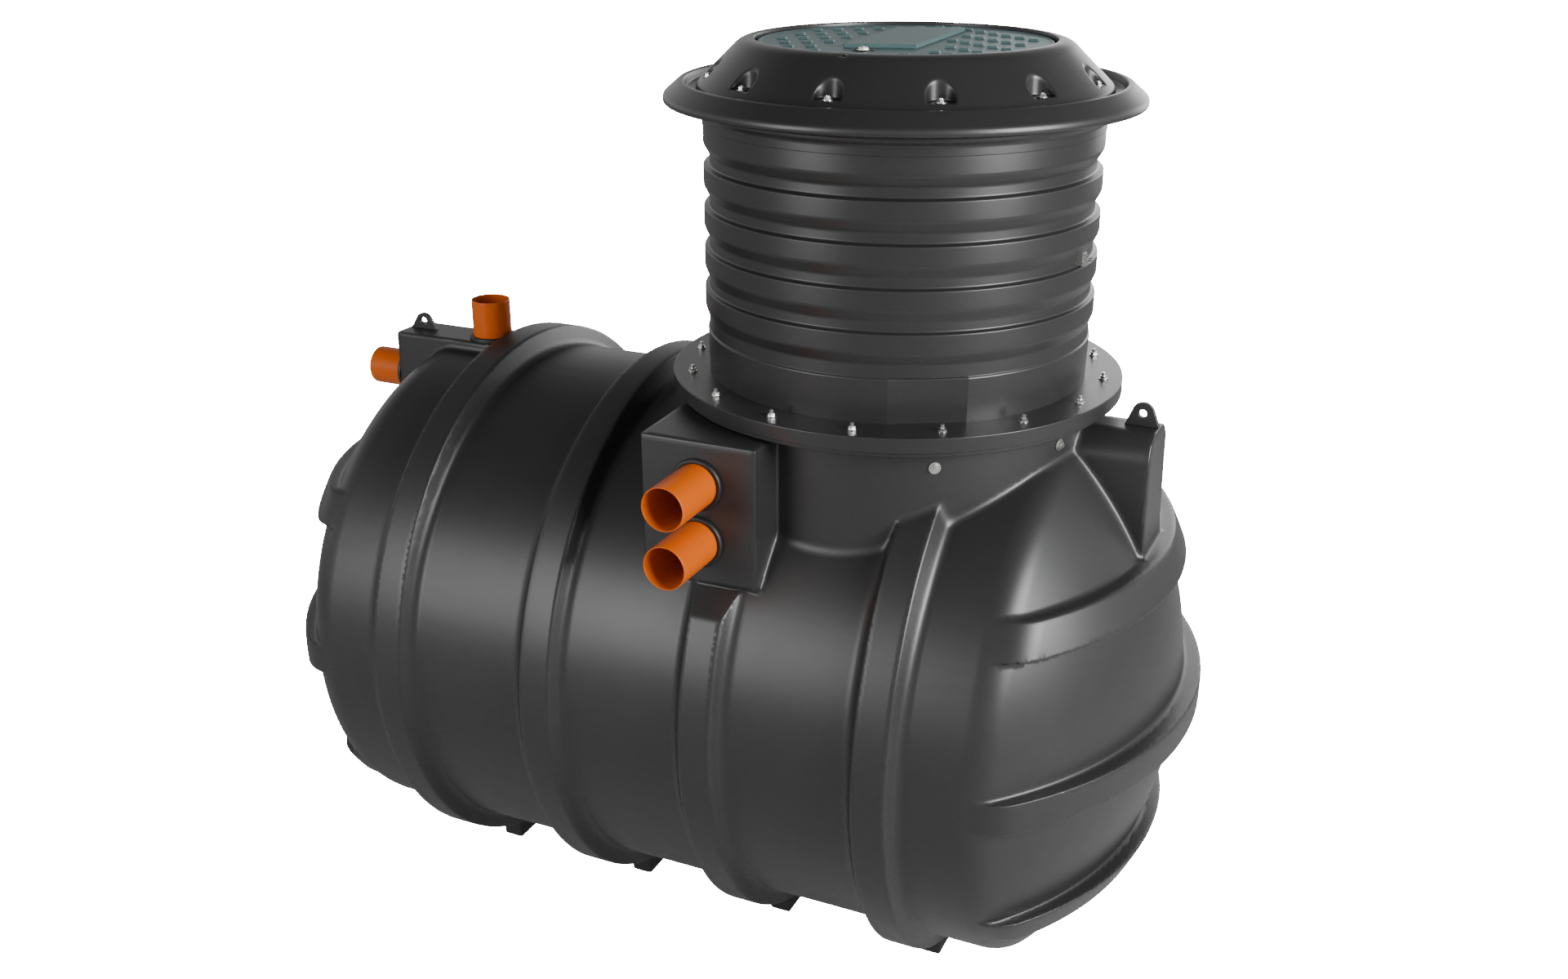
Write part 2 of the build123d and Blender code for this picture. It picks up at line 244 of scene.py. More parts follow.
# How far each form's fillet with the tank and its own rounded edge reach
FILLET = {"hoop": 0.016, "foot": 0.010, "neck": 0.013, "outlet": 0.009, "inlet": 0.010, "block": 0.012}
EDGE = {"rib": 0.007, "hoop": 0.005, "facet": 0.004, "foot": 0.005, "neck": 0.003, "outlet": 0.006,
        "outlet top": 0.007, "inlet": 0.008, "block": 0.008}


def hoop_field(x, y, z, middle):
    """One hoop: an elliptical band with sloping flanks on the round barrel."""
    radial = np.hypot(y, z)
    beyond = np.sqrt((y / HOOP_HALF_Y) ** 2 + (z / HOOP_HALF_Z) ** 2)
    local = radial / np.maximum(beyond, 1e-6)
    share = (radial - BARREL_R) / (local - BARREL_R)
    flank = HOOP_FLANK * (np.abs(x - middle) - HOOP_ROOT + HOOP_SLOPE * share)
    return smooth_max(radial - local, flank, EDGE["hoop"])


def edged_box(x, y, z, low, high, reach):
    """A box with rounded edges."""
    field = slab(x, low[0], high[0], reach)
    field = smooth_max(field, slab(y, low[1], high[1], reach), reach)
    return smooth_max(field, slab(z, low[2], high[2], reach), reach)


def ribbed_ends(x, up, radial):
    """The barrel with its dished ends, and three ribs that grow out of each."""
    along = np.abs(x)
    tank = dished_field(along, radial, BARREL_HALF, END_DEPTH, BARREL_R, END_KNUCKLE)
    fuller = dished_field(along, radial, BARREL_HALF + RIB_SHIFT, RIB_DEPTH, BARREL_R - RIB_INSET,
                          RIB_KNUCKLE)
    reach = 0.0005 + 0.0115 * np.clip((along - BARREL_HALF) / RIB_RUN_OUT, 0, 1)
    for number in (-1, 0, 1):
        level = up + RIB_DROP - number * RIB_PITCH
        rib = smooth_max(fuller, np.abs(level) - RIB_HALF, EDGE["rib"])
        tank = np.where(along > BARREL_HALF, smooth_min(tank, rib, reach), tank)
    return tank


def footed_hoop(number, x, y, z, up):
    """One hoop with its foot. The third has a facet that makes room under the outlet box."""
    hoop = hoop_field(x, y, up, middle_of(f"hoop_{number}")[0])
    if number == 3:
        facet = FACET_ACROSS * (FACET_Y - y) + FACET_UP * (z - FLANGE_TOP + FACET_DROP)
        hoop = smooth_max(hoop, facet, EDGE["facet"])
    low, high = BOXES[f"foot_{number}"]
    foot = edged_box(x, y, z, (low[0], -FOOT_HALF_Y, low[2]), (high[0], FOOT_HALF_Y, FOOT_TOP),
                     EDGE["foot"])
    return smooth_min(hoop, foot, FILLET["foot"])


def turret_neck(x, y, z, up):
    """The round neck under the riser."""
    neck = np.hypot(x - RISER_X, y) - NECK_R
    neck = smooth_max(neck, z - BOXES["neck"][1][2], EDGE["neck"])
    return np.maximum(neck, -up)


def flared_outlet(x, y, z):
    """The outlet box, which grows a little broader to its back."""
    low, high = BOXES["outlet_box"]
    face_y = low[1] - SIDE_Y
    width = OUTLET_HALF + (y - face_y) * OUTLET_FLARE
    outlet = smooth_max(np.abs(x - middle_of("outlet_seal_upper")[0]) - width, face_y - y,
                        EDGE["outlet"])
    outlet = smooth_max(outlet, slab(z, low[2], high[2], EDGE["outlet"]), EDGE["outlet top"])
    return np.maximum(outlet, y + OUTLET_BACK)


def arched_block(x, y, z, up):
    """The lifting block, with a rounded top and an end that leans."""
    high = BOXES["near_lifting_block"][1]
    fall = np.clip(high[2] - z, 0, BLOCK_FALL)
    over = np.abs(y) - BLOCK_FLAT
    above = z - high[2] + BLOCK_ROUND
    arch = np.hypot(np.maximum(over, 0), np.maximum(above, 0)) + np.minimum(np.maximum(over, above), 0)
    lift = smooth_max(arch - BLOCK_ROUND, x - high[0] - BLOCK_LEAN * fall, EDGE["block"])
    lift = np.maximum(lift, RISER_X - x)
    return np.maximum(lift, -up)


def tank_field(x, y, z):
    """The whole tank as one moulding, for places from the floor and the middle plane."""
    up = z - AXIS_Z
    tank = ribbed_ends(x, up, np.hypot(y, up))
    for number in range(1, 5):
        tank = smooth_min(tank, footed_hoop(number, x, y, z, up), FILLET["hoop"])
    tank = smooth_min(tank, turret_neck(x, y, z, up), FILLET["neck"])
    tank = smooth_min(tank, flared_outlet(x, y, z), FILLET["outlet"])
    low, high = BOXES["inlet_box"]
    inlet = edged_box(x, y, z, (low[0], -INLET_HALF_Y, AXIS_Z), (high[0], INLET_HALF_Y, high[2]),
                      EDGE["inlet"])
    tank = smooth_min(tank, inlet, FILLET["inlet"])
    tank = smooth_min(tank, arched_block(x, y, z, up), FILLET["block"])
    for name in ("outlet_pipe_upper", "outlet_pipe_lower"):
        place = middle_of(name)
        bore = np.hypot(x - place[0], z - place[2]) - PIPE_BORE
        tank = np.maximum(tank, -np.maximum(bore, y + OUTLET_BORE_END))
    bore = np.hypot(y, z - middle_of("inlet_pipe")[2]) - PIPE_BORE
    tank = np.maximum(tank, -np.maximum(bore, x + INLET_BORE_END))
    bore = np.hypot(x - middle_of("vent_pipe")[0], y) - PIPE_BORE
    return np.maximum(tank, -np.maximum(bore, VENT_BORE_END - z))


# Surfaces of distance fields

def surface_net(field, low, step):
    """The surface where a sampled field is zero: one point a cell and one face an edge that crosses."""
    inside = field < 0
    shape = tuple(n - 1 for n in field.shape)
    count = np.zeros(shape, np.uint8)
    for i, j, k in product((0, 1), repeat=3):
        count += inside[i:i + shape[0], j:j + shape[1], k:k + shape[2]]
    active = (count > 0) & (count < 8)
    cells = np.argwhere(active)
    index = np.full(shape, -1, np.int32)
    index[active] = np.arange(len(cells))
    total = np.zeros((len(cells), 3))
    hits = np.zeros(len(cells))
    for axis in range(3):
        others = [other for other in range(3) if other != axis]
        for shift in product((0, 1), repeat=2):
            start = cells.copy()
            start[:, others] += shift
            end = start.copy()
            end[:, axis] += 1
            value = field[tuple(start.T)].astype(float)
            far = field[tuple(end.T)].astype(float)
            cross = (value < 0) != (far < 0)
            point = start[cross].astype(float)
            point[:, axis] += value[cross] / (value[cross] - far[cross])
            total[cross] += point
            hits[cross] += 1
    points = np.asarray(low) + step * total / hits[:, None]
    faces = []
    for axis in range(3):
        first, second = [other for other in range(3) if other != axis]
        if axis == 1:
            first, second = second, first
        near = np.take(inside, range(0, inside.shape[axis] - 1), axis)
        far = np.take(inside, range(1, inside.shape[axis]), axis)
        for flipped in (False, True):
            edges = np.argwhere(~near & far if flipped else near & ~far)
            whole = (edges[:, first] > 0) & (edges[:, second] > 0)
            whole &= (edges[:, first] < shape[first]) & (edges[:, second] < shape[second])
            edges = edges[whole]
            ring = []
            for i, j in ((0, 0), (1, 0), (1, 1), (0, 1)):
                cell = edges.copy()
                cell[:, first] -= i
                cell[:, second] -= j
                ring.append(index[tuple(cell.T)])
            if flipped:
                ring.reverse()
            faces.append(np.stack(ring, 1))
    return points, np.concatenate(faces)


SLOPE_REACH = 0.0004
LEAST_SLOPE = 0.25
MOST_MOVE = 0.004


def slope_of(field, points):
    """The direction in which a field grows at some points."""
    slope = np.zeros_like(points)
    for axis in range(3):
        ahead = points.copy()
        ahead[:, axis] += SLOPE_REACH
        behind = points.copy()
        behind[:, axis] -= SLOPE_REACH
        slope[:, axis] = field(*ahead.T) - field(*behind.T)
    return slope / (2 * SLOPE_REACH)


def settled(field, points, rounds=3):
    """Points moved on to the place where a field is zero."""
    for step in range(rounds):
        slope = slope_of(field, points)
        size = np.maximum((slope ** 2).sum(1), LEAST_SLOPE)
        shift = slope * (field(*points.T) / size)[:, None]
        length = np.linalg.norm(shift, axis=1)
        shift *= np.minimum(1, MOST_MOVE / np.maximum(length, 1e-9))[:, None]
        points = points - shift
    return points


def unit_slope(field, points):
    """The outward normal of a field at some points."""
    slope = slope_of(field, points)
    return slope / np.maximum(np.linalg.norm(slope, axis=1), 1e-9)[:, None]


STIFFNESS = 0.08
LOOK_AROUND = 0.55
MOST_DRAW = 0.7
BEND = math.cos(math.radians(10))
TURNED_AWAY = math.cos(math.radians(14))


def drawn_to_edges(field, points, step):
    """Points moved to where the surface planes around them meet, so that they line up on the edges."""
    planes = np.zeros((len(points), 3, 3)) + STIFFNESS * np.eye(3)
    pull = np.zeros_like(points)
    for corner in product((-1, 1), repeat=3):
        spot = settled(field, points + LOOK_AROUND * step * np.array(corner), 1)
        normal = unit_slope(field, spot)
        planes += normal[:, :, None] * normal[:, None, :]
        pull += normal * (normal * (spot - points)).sum(1)[:, None]
    shift = np.linalg.solve(planes, pull[:, :, None])[:, :, 0]
    length = np.linalg.norm(shift, axis=1)
    shift *= np.minimum(1, MOST_DRAW * step / np.maximum(length, 1e-9))[:, None]
    return settled(field, points + shift, 2)


def near_bends(normals, faces):
    """Which points belong to a face whose corners look in different directions."""
    bent = np.zeros(len(normals), bool)
    for first in range(4):
        for second in range(first):
            agree = (normals[faces[:, first]] * normals[faces[:, second]]).sum(1)
            bent[faces[agree < BEND]] = True
    return bent


def shaded_by(field, mesh, points):
    """Custom normals from a field, split where a face turns down over an outer edge."""
    normals = unit_slope(field, points)
    corner = np.empty(len(mesh.loops), np.int32)
    mesh.loops.foreach_get("vertex_index", corner)
    start = np.empty(len(mesh.polygons), np.int32)
    mesh.polygons.foreach_get("loop_start", start)
    count = np.diff(np.append(start, len(corner)))
    spots = points[corner]
    centre = np.repeat(np.add.reduceat(spots, start) / count[:, None], count, axis=0)
    inner = unit_slope(field, settled(field, 0.6 * spots + 0.4 * centre, 1))
    own = normals[corner]
    outer_edge = ((centre - spots) * own).sum(1) < 0
    turned_away = (inner * own).sum(1) < TURNED_AWAY
    split = np.where((outer_edge & turned_away)[:, None], inner, own)
    mesh.shade_smooth()
    mesh.normals_split_custom_set(split.tolist())


def mesh_from(name, points, faces):
    """A mesh from arrays of points and four-sided faces."""
    mesh = bpy.data.meshes.new(name)
    mesh.vertices.add(len(points))
    mesh.vertices.foreach_set("co", points.ravel())
    mesh.loops.add(faces.size)
    mesh.loops.foreach_set("vertex_index", faces.ravel())
    mesh.polygons.add(len(faces))
    mesh.polygons.foreach_set("loop_start", np.arange(0, faces.size, 4))
    mesh.update(calc_edges=True)
    return mesh


def baked(obj):
    """The object's mesh with its modifiers applied, on an object without them."""
    graph = bpy.context.evaluated_depsgraph_get()
    graph.update()
    mesh = bpy.data.meshes.new_from_object(obj.evaluated_get(graph))
    mesh.name = obj.name
    obj.modifiers.clear()
    obj.data = mesh
    return obj


def added(name, mesh):
    """A new object in the scene for a mesh."""
    mesh.name = name
    obj = bpy.data.objects.new(name, mesh)
    bpy.context.scene.collection.objects.link(obj)
    return obj


SAMPLED_SHARES = 16
CELL_REACH = 0.62


def field_piece(name, field, low, high, step, most_triangles):
    """A body whose surface is where a distance field is zero, shaded with the field's own slope."""
    grid = [np.arange(low[axis] - 2 * step, high[axis] + 2.5 * step, step) for axis in range(3)]
    sizes = [len(axis) for axis in grid]
    layers = []
    for part in np.array_split(np.arange(sizes[0]), SAMPLED_SHARES):
        sampled = field(grid[0][part, None, None], grid[1][None, :, None], grid[2][None, None, :])
        layers.append(np.broadcast_to(sampled, (len(part), *sizes[1:])).astype(np.float32))
    origin = np.array([axis[0] for axis in grid])
    points, faces = surface_net(np.concatenate(layers), origin, step)
    cell_middle = origin + (np.floor((points - origin) / step) + 0.5) * step
    points = settled(field, points)
    bent = near_bends(unit_slope(field, points), faces)
    drawn = drawn_to_edges(field, points[bent], step)
    in_cell = (np.abs(drawn - cell_middle[bent]) < CELL_REACH * step).all(1)
    points[bent] = np.where(in_cell[:, None], drawn, points[bent])
    piece = added(name, mesh_from(name, points, faces))
    triangles = 2 * len(faces)
    if triangles > most_triangles:
        thin = piece.modifiers.new("thin", "DECIMATE")
        thin.ratio = most_triangles / triangles
        baked(piece)
    mesh = piece.data
    flat = np.empty(3 * len(mesh.vertices), np.float32)
    mesh.vertices.foreach_get("co", flat)
    points = settled(field, flat.reshape(-1, 3).astype(float))
    placed = points + np.array((0, SIDE_Y, 0))
    mesh.vertices.foreach_set("co", placed.ravel())
    mesh.update()
    shaded_by(field, mesh, points)
    return piece


# Turned and edged bodies

FILLET_STEPS = 4
SHARP_ANGLE = math.radians(32)
EASE = 0.002


def rounded_line(corners):
    """A line through corners of (radius, height, fillet) in millimetres, its corners rounded."""
    places = [Vector(corner[:2]) for corner in corners]
    line = []
    for number, here in enumerate(places):
        before = places[number - 1]
        after = places[(number + 1) % len(corners)]
        fillet = min(corners[number][2], 0.48 * (here - before).length, 0.48 * (after - here).length)
        if fillet <= 0:
            line.append(tuple(here))
            continue
        start = here + (before - here).normalized() * fillet
        end = here + (after - here).normalized() * fillet
        for step in range(FILLET_STEPS + 1):
            share = step / FILLET_STEPS
            point = start * (1 - share) ** 2 + here * 2 * share * (1 - share) + end * share ** 2
            line.append(tuple(point))
    return line


def piece_from(name, mesh):
    """An object made of a bmesh, which is given up."""
    data = bpy.data.meshes.new(name)
    mesh.to_mesh(data)
    mesh.free()
    return added(name, data)


def crisp(piece, sharp=None):
    """Smooth shading with flat faces kept flat, and edges sharp between corners that a test names."""
    piece.data.shade_smooth()
    piece.data.set_sharp_from_angle(angle=SHARP_ANGLE)
    if sharp:
        spots = piece.data.vertices
        for edge in piece.data.edges:
            if sharp(spots[edge.vertices[0]].co) and sharp(spots[edge.vertices[1]].co):
                edge.use_edge_sharp = True
    weights = piece.modifiers.new("weights", "WEIGHTED_NORMAL")
    weights.keep_sharp = True
    return baked(piece)


def turned(name, corners, segments=192, first_angle=0.0, place=None, change=None, sharp=None):
    """A body turned about an upright axis from a rounded outline, with crisp smooth shading."""
    place = place or Matrix.Translation(AXIS)
    mesh = bmesh.new()
    rings = []
    for radius, height in rounded_line(corners):
        ring = []
        for step in range(segments):
            angle = first_angle + step * math.tau / segments
            point = Vector((radius * MM * math.cos(angle), radius * MM * math.sin(angle), height * MM))
            if change:
                point = change(point)
            ring.append(mesh.verts.new(place @ point))
        rings.append(ring)
    for number, lower in enumerate(rings):
        upper = rings[(number + 1) % len(rings)]
        for step in range(segments):
            after = (step + 1) % segments
            mesh.faces.new((lower[step], lower[after], upper[after], upper[step]))
    bmesh.ops.remove_doubles(mesh, verts=mesh.verts, dist=1e-6)
    bmesh.ops.recalc_face_normals(mesh, faces=mesh.faces)
    return crisp(piece_from(name, mesh), sharp)


def bevelled_copy(name, source):
    """A node's shape with rounded edges."""
    mesh = bmesh.new()
    mesh.from_mesh(frame["nodes"][source].data)
    bmesh.ops.remove_doubles(mesh, verts=mesh.verts, dist=1e-6)
    bmesh.ops.dissolve_limit(mesh, angle_limit=math.radians(1), verts=mesh.verts, edges=mesh.edges)
    bmesh.ops.recalc_face_normals(mesh, faces=mesh.faces)
    piece = piece_from(name, mesh)
    bevel = piece.modifiers.new("bevel", "BEVEL")
    bevel.width = EASE
    bevel.segments = 3
    bevel.limit_method = "ANGLE"
    bevel.angle_limit = math.radians(40)
    baked(piece)
    return crisp(piece)


def eased(name, mesh):
    """A piece made of a bmesh with all its edges rounded a little."""
    bmesh.ops.bevel(mesh, geom=mesh.edges, offset=EASE, segments=2, affect="EDGES")
    return crisp(piece_from(name, mesh))


def block(name, size, place):
    """A small box with rounded edges."""
    mesh = bmesh.new()
    bmesh.ops.create_cube(mesh, size=1.0, matrix=place @ Matrix.Diagonal((*size, 1)))
    return eased(name, mesh)


def plate(name, corners, low, high):
    """A flat plate on the lid, from its corners round the riser's axis."""
    mesh = bmesh.new()
    rings = []
    for height in (low, high):
        rings.append([mesh.verts.new(AXIS + Vector((x, y, height))) for x, y in corners])
    mesh.faces.new(rings[1])
    mesh.faces.new(rings[0][::-1])
    for step in range(len(corners)):
        after = (step + 1) % len(corners)
        mesh.faces.new((rings[0][step], rings[0][after], rings[1][after], rings[1][step]))
    return eased(name, mesh)


def lying(place, direction):
    """A placement whose upright axis points along a direction."""
    turn = Vector(direction).to_track_quat("Z", "Y").to_matrix().to_4x4()
    return Matrix.Translation(place) @ turn


def keep(piece, slot, *nodes):
    """Let a piece ride on the plant, take a slot's finish and stand for its nodes."""
    piece.data.materials.clear()
    piece.data.materials.append(finish_of(slot))
    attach(piece, ROOT)
    if nodes:
        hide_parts(*nodes)
    return piece


# Geometry Nodes trees

WASHER_THICK = 0.0024
MOST_TURN = 1.05


def set_on_points(tree, result, points, shape, **more):
    """Put a shape on points and give it out."""
    scatter = node(tree, "GeometryNodeInstanceOnPoints", {"Points": points, "Instance": shape, **more})
    real = node(tree, "GeometryNodeRealizeInstances", {0: scatter})
    tree.links.new(real.outputs[0], result[0])


def bolt_ring_tree():
    """Hexagon heads with a washer and a stud, set round a circle and pointing up or outwards."""
    name = "bolt ring"
    if name in bpy.data.node_groups:
        return bpy.data.node_groups[name]
    tree, given, result = new_group(name, "GeometryNodeTree", {
        "Geometry": "Geometry", "Count": 16, "Ring radius": 0.5, "First angle": 0.0, "Outwards": 0.0,
        "Kept": 100, "Sides": 6, "Head radius": 0.01, "Head height": 0.008, "Washer radius": 0.014,
        "Stud radius": 0.005, "Stud height": 0.016, "Seed": 3}, {"Geometry": "Geometry"})
    circle = node(tree, "GeometryNodeMeshCircle", {
        "Vertices": given["Count"], "Radius": given["Ring radius"]})
    spin = node(tree, "ShaderNodeCombineXYZ", {"Z": given["First angle"]})
    whole_ring = node(tree, "GeometryNodeTransform", {"Geometry": circle, "Rotation": spin})
    index = node(tree, "GeometryNodeInputIndex")
    beyond = node(tree, "FunctionNodeCompare", {2: index, 3: given["Kept"]},
                  data_type="INT", operation="GREATER_EQUAL")
    ring = node(tree, "GeometryNodeDeleteGeometry", {"Geometry": whole_ring, "Selection": beyond},
                domain="POINT")
    place = node(tree, "GeometryNodeInputPosition")
    unit = node(tree, "ShaderNodeVectorMath", {0: place}, operation="NORMALIZE")
    mix = node(tree, "ShaderNodeMix", {0: given["Outwards"], 4: (0, 0, 1), 5: unit}, data_type="VECTOR")
    aim = node(tree, "FunctionNodeAlignRotationToVector", {"Vector": mix.outputs[1]}, axis="Z")
    chance = node(tree, "FunctionNodeRandomValue", {
        "Min": 0.0, "Max": MOST_TURN, "Seed": given["Seed"]})
    own_turn = node(tree, "ShaderNodeCombineXYZ", {"Z": chance.outputs["Value"]})
    turn = node(tree, "FunctionNodeRotateRotation", {0: aim, 1: own_turn}, rotation_space="LOCAL")
    head = node(tree, "GeometryNodeMeshCylinder", {
        "Vertices": given["Sides"], "Radius": given["Head radius"], "Depth": given["Head height"]})
    washer = node(tree, "GeometryNodeMeshCylinder", {
        "Vertices": 20, "Radius": given["Washer radius"], "Depth": WASHER_THICK})
    stud = node(tree, "GeometryNodeMeshCylinder", {
        "Vertices": 12, "Radius": given["Stud radius"], "Depth": given["Stud height"]})
    bolt = node(tree, "GeometryNodeJoinGeometry")
    for source, height in ((head, given["Head height"]), (washer, WASHER_THICK),
                           (stud, given["Stud height"])):
        half = worked_out(tree, "MULTIPLY", height, 0.5)
        up = node(tree, "ShaderNodeCombineXYZ", {"Z": half})
        move = node(tree, "GeometryNodeTransform", {"Geometry": source, "Translation": up})
        tree.links.new(move.outputs[0], bolt.inputs[0])
    set_on_points(tree, result, ring, bolt, Rotation=turn)
    return tree


def tread_tree():
    """Raised tread blocks on a leaning grid, inside a circle and clear of a turned rectangle."""
    name = "tread blocks"
    if name in bpy.data.node_groups:
        return bpy.data.node_groups[name]
    tree, given, result = new_group(name, "GeometryNodeTree", {
        "Geometry": "Geometry", "Reach": 0.33, "Columns": 16, "Rows": 13, "Lean": 0.72,
        "Clear half length": 0.18, "Clear half width": 0.14, "Clear middle": (0.0, 0.0, 0.0),
        "Turn": 0.0, "Block": (0.02, 0.012, 0.0025)}, {"Geometry": "Geometry"})
    wide = worked_out(tree, "MULTIPLY", given["Reach"], 2.0)
    deep = worked_out(tree, "MULTIPLY", wide, 2.0)
    grid = node(tree, "GeometryNodeMeshGrid", {
        "Size X": wide, "Size Y": deep, "Vertices X": given["Columns"], "Vertices Y": given["Rows"]})
    place = node(tree, "GeometryNodeInputPosition")
    column = node(tree, "ShaderNodeSeparateXYZ", {0: place})
    from_middle = worked_out(tree, "ABSOLUTE", column.outputs["X"])
    drop_back = worked_out(tree, "MULTIPLY", from_middle, given["Lean"])
    backwards = worked_out(tree, "MULTIPLY", drop_back, -1.0)
    lean = node(tree, "ShaderNodeCombineXYZ", {"Y": backwards})
    leaning = node(tree, "GeometryNodeSetPosition", {"Geometry": grid, "Offset": lean})
    length = node(tree, "ShaderNodeVectorMath", {0: place}, operation="LENGTH")
    outside = worked_out(tree, "GREATER_THAN", length.outputs["Value"], given["Reach"])
    back = worked_out(tree, "MULTIPLY", given["Turn"], -1.0)
    shift = node(tree, "ShaderNodeVectorMath", {0: place, 1: given["Clear middle"]},
                 operation="SUBTRACT")
    rotate = node(tree, "ShaderNodeVectorRotate", {"Vector": shift, "Angle": back},
                  rotation_type="Z_AXIS")
    split = node(tree, "ShaderNodeSeparateXYZ", {0: rotate})
    within = []
    for axis, limit in (("X", "Clear half length"), ("Y", "Clear half width")):
        size = worked_out(tree, "ABSOLUTE", split.outputs[axis])
        within.append(worked_out(tree, "LESS_THAN", size, given[limit]))
    both = worked_out(tree, "MULTIPLY", *within)
    drop = worked_out(tree, "MAXIMUM", outside, both)
    choose = node(tree, "GeometryNodeDeleteGeometry", {"Geometry": leaning, "Selection": drop},
                  domain="POINT")
    stub = node(tree, "GeometryNodeMeshCone", {
        "Vertices": 4, "Radius Top": 0.58, "Radius Bottom": 0.7071, "Depth": 1.0})
    square = node(tree, "GeometryNodeTransform", {"Geometry": stub, "Rotation": (0, 0, math.pi / 4)})
    shape = node(tree, "GeometryNodeTransform", {"Geometry": square, "Scale": given["Block"]})
    set_on_points(tree, result, choose, shape)
    return tree


def grown(name, tree, place, **values):
    """A piece made by a Geometry Nodes tree, baked and moved to its place."""
    piece = added(name, bpy.data.meshes.new(name))
    maker = piece.modifiers.new("maker", "NODES")
    maker.node_group = tree
    for item in tree.interface.items_tree:
        key = item.name.replace(" ", "_")
        if item.item_type == "SOCKET" and item.in_out == "INPUT" and key in values:
            maker[item.identifier] = values[key]
    baked(piece)
    piece.data.transform(Matrix.Translation(place))
    return piece


def bolted(name, place, *nodes, **values):
    """A ring of zinc plated bolts that stands for its nodes."""
    keep(grown(name, bolt_ring_tree(), place, **values), "zinc_steel", *nodes)


# The plant, piece by piece

class PlantLook(bpy.types.PropertyGroup):
    """Colours and finish of the plant."""
    tank_colour: bpy.props.FloatVectorProperty(
        name="Tank colour", description="Colour of the moulded tank",
        subtype="COLOR", size=3, default=(0.016, 0.016, 0.0165))
    tank_gloss: bpy.props.FloatProperty(
        name="Tank roughness", description="Roughness of the moulded tank",
        subtype="FACTOR", default=0.40)
    pipe_colour: bpy.props.FloatVectorProperty(
        name="Pipe colour", description="Colour of the drain pipes",
        subtype="COLOR", size=3, default=(0.54, 0.092, 0.0))
    lid_colour: bpy.props.FloatVectorProperty(
        name="Lid colour", description="Colour of the lid",
        subtype="COLOR", size=3, default=(0.080, 0.140, 0.145))


class PLANT_OT_skins(bpy.types.Operator):
    """Make the finishes and paint the solids"""
    bl_idname = "plant.skins"
    bl_label = "Paint the solids"

    def execute(self, context):
        look = context.scene.plant_look
        skinned_material("tank_plastic", look.tank_colour, look.tank_gloss, 420.0, 0.05, 0.10)
        skinned_material("riser_plastic", look.tank_colour, 0.36, 520.0, 0.04, 0.08)
        skinned_material("drain_pipe", look.pipe_colour, 0.32, 260.0, 0.02, 0.06, specular=0.25)
        skinned_material("seal_rubber", (0.008, 0.008, 0.008), 0.5, 900.0, 0.03, 0.1)
        skinned_material("lid_plastic", look.lid_colour, 0.42, 300.0, 0.02, 0.08, specular=0.12)
        steel = skinned_material("zinc_steel", (0.62, 0.62, 0.6), 0.3, 700.0, 0.05, 0.3)
        steel.inputs["Metallic"].default_value = 1.0
        slots = {entry["node"]: entry["material_slot"] for entry in frame["record"]["subparts"]}
        for name, solid in frame["nodes"].items():
            finish = finish_of(slots[name])
            if not solid.material_slots:
                solid.data.materials.append(finish)
            for index in range(len(solid.material_slots)):
                solid.material_slots[index].material = finish
        return {"FINISHED"}


class PLANT_OT_tank(bpy.types.Operator):
    """Mould the tank with its hoops, ribs, boxes and turret in one skin"""
    bl_idname = "plant.tank"
    bl_label = "Tank moulding"

    def execute(self, context):
        piece = field_piece("tank_moulding", tank_field, (-1.295, -0.752, 0.0), (1.295, 0.752, 1.580),
                            0.0085, 196000)
        hoops = [f"hoop_{number}" for number in range(1, 5)]
        feet = [f"foot_{number}" for number in range(1, 5)]
        keep(piece, "tank_plastic", "tank_barrel", "near_end", "far_end", "near_end_ribs",
             "far_end_ribs", "neck", "outlet_box", "inlet_box", "near_lifting_block", *hoops, *feet)
        for name, broader, taller in (("near_lug", 1, 1), ("far_lug", 1.28, 1.16)):
            lug = bevelled_copy(name + "_plate", name)
            foot = Vector((middle_of(name)[0], 0, BOXES[name][0][2]))
            for vertex in lug.data.vertices:
                vertex.co.x = foot.x + (vertex.co.x - foot.x) * broader
                vertex.co.z = foot.z + (vertex.co.z - foot.z) * taller
            keep(lug, "tank_plastic", name)
        return {"FINISHED"}


# The riser's outline, in millimetres over the flange's top
BORE_R = 463
WALL_R = 473
WALL_TAPER = 9
WALL_TOP = 626.4
LEDGE_R = 490
LEDGE_FIRST = 216.2
LEDGE_PITCH = 100.8
LEDGE_HEIGHT = 74
LEDGE_SLOPE = 27

# The nameplate's flat on the riser's skirt
FLAT_ANGLE = math.radians(-60.8)
FLAT_SEGMENTS = 225
FLAT_HALF = 7 * math.tau / FLAT_SEGMENTS
FLAT_TOP = 0.1115
FLAT_LEAST_R = 0.47


def wall_radius(height):
    """The riser's outer radius between its ledges, at a height."""
    return WALL_R + WALL_TAPER * max(0.0, 1 - height / WALL_TOP)


def turn_from_flat(point):
    """How far round the riser a point lies from the middle of the nameplate's flat."""
    return abs(point.xy.angle_signed(Vector((math.cos(FLAT_ANGLE), math.sin(FLAT_ANGLE)))))


def flattened(point):
    """Press the nameplate's flat into the skirt."""
    away = turn_from_flat(point)
    if point.z < FLAT_TOP and point.xy.length > FLAT_LEAST_R and away < FLAT_HALF + 0.001:
        point.xy *= math.cos(FLAT_HALF) / math.cos(away)
    return point


def on_flat_edge(place):
    """Whether a corner lies on an upright edge of the nameplate's flat."""
    point = place - AXIS
    on_skirt = point.z < FLAT_TOP and point.xy.length > FLAT_LEAST_R
    return on_skirt and abs(turn_from_flat(point) - FLAT_HALF) < 0.002


